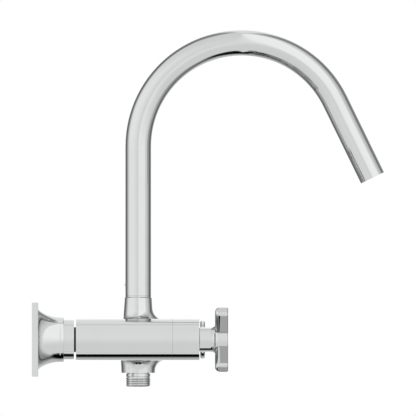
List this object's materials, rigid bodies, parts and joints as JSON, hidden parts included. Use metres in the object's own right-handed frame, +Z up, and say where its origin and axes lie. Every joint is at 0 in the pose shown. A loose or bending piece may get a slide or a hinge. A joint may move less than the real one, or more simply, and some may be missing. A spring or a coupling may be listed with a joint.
{
  "type": "bath shower mixer",
  "caption": "Wall-mounted bath shower mixer: cross handles, high swivelling gooseneck spout, diverter knob and threaded hose outlet.",
  "frame": {"origin": "on the finished wall, midway between the two inlets", "axes": "+X out of the wall along the valves, +Y to the cold side, +Z up along the spout's swivel"},
  "size_m": [0.2995, 0.213, 0.3032],
  "materials": {
    "chrome": "bright polished chrome plate on brass",
    "bare_brass": "machined",
    "dark_brass": "blackened",
    "steel": "stainless",
    "rubber": "matt",
    "ceramic": "lapped",
    "white_plastic": "moulded",
    "red_index": "glossy",
    "blue_index": "glossy"
  },
  "bodies": {
    "mixer_body": {"hot_wall_flange": "chrome", "hot_wall_union": "bare_brass", "hot_inlet_washer": "rubber", "hot_union_nut": "chrome", "hot_inlet_neck": "dark_brass", "hot_valve_barrel": "chrome", "hot_bonnet_sleeve": "chrome", "hot_headwork": "bare_brass", "hot_headwork_o_ring": "rubber", "hot_seat_seal": "rubber", "hot_fixed_disc": "ceramic", "cold_wall_flange": "chrome", "cold_wall_union": "bare_brass", "cold_inlet_washer": "rubber", "cold_union_nut": "chrome", "cold_inlet_neck": "dark_brass", "cold_valve_barrel": "chrome", "cold_bonnet_sleeve": "chrome", "cold_headwork": "bare_brass", "cold_headwork_o_ring": "rubber", "cold_seat_seal": "rubber", "cold_fixed_disc": "ceramic", "bridge_body": "chrome", "diverter_liner": "white_plastic", "diverter_headwork": "bare_brass", "diverter_o_ring": "rubber", "diverter_sleeve": "chrome", "spout_nipple": "bare_brass", "spout_lower_o_ring": "rubber", "spout_upper_o_ring": "rubber", "spout_glide_ring": "chrome", "hose_outlet": "chrome", "hose_outlet_o_ring": "rubber"},
    "hot_handle_set": {"hot_handle": "chrome", "hot_handle_screw": "steel", "hot_index_cap": "red_index", "hot_spindle": "bare_brass", "hot_spindle_o_ring": "rubber", "hot_spindle_clip": "steel", "hot_moving_disc": "ceramic"},
    "cold_handle_set": {"cold_handle": "chrome", "cold_handle_screw": "steel", "cold_index_cap": "blue_index", "cold_spindle": "bare_brass", "cold_spindle_o_ring": "rubber", "cold_spindle_clip": "steel", "cold_moving_disc": "ceramic"},
    "diverter_set": {"diverter_knob": "chrome", "knob_screw": "steel", "knob_cap": "chrome", "diverter_plug": "bare_brass", "diverter_spindle": "bare_brass", "diverter_spindle_o_ring": "rubber", "diverter_spindle_clip": "steel"},
    "spout_set": {"spout_tube": "chrome", "spout_grub_screw": "steel", "spout_end_bush": "bare_brass", "aerator_washer": "rubber", "aerator_housing": "chrome", "aerator_insert": "white_plastic"}
  },
  "joints": [
    {"name": "hot_handle_turn", "type": "hinge", "parent": "mixer_body", "child": "hot_handle_set", "pos_m": [0.1557, -0.075, 0], "axis": [1, 0, 0], "range_deg": [0, 90]},
    {"name": "cold_handle_turn", "type": "hinge", "parent": "mixer_body", "child": "cold_handle_set", "pos_m": [0.1557, 0.075, 0], "axis": [1, 0, 0], "range_deg": [-90, 0]},
    {"name": "diverter_turn", "type": "hinge", "parent": "mixer_body", "child": "diverter_set", "pos_m": [0.1472, 0, 0], "axis": [1, 0, 0], "range_deg": [0, 180]},
    {"name": "spout_swivel", "type": "hinge", "parent": "mixer_body", "child": "spout_set", "pos_m": [0.0905, 0, 0.0374], "axis": [0, 0, 1], "range_deg": [-110, 110]}
  ]
}
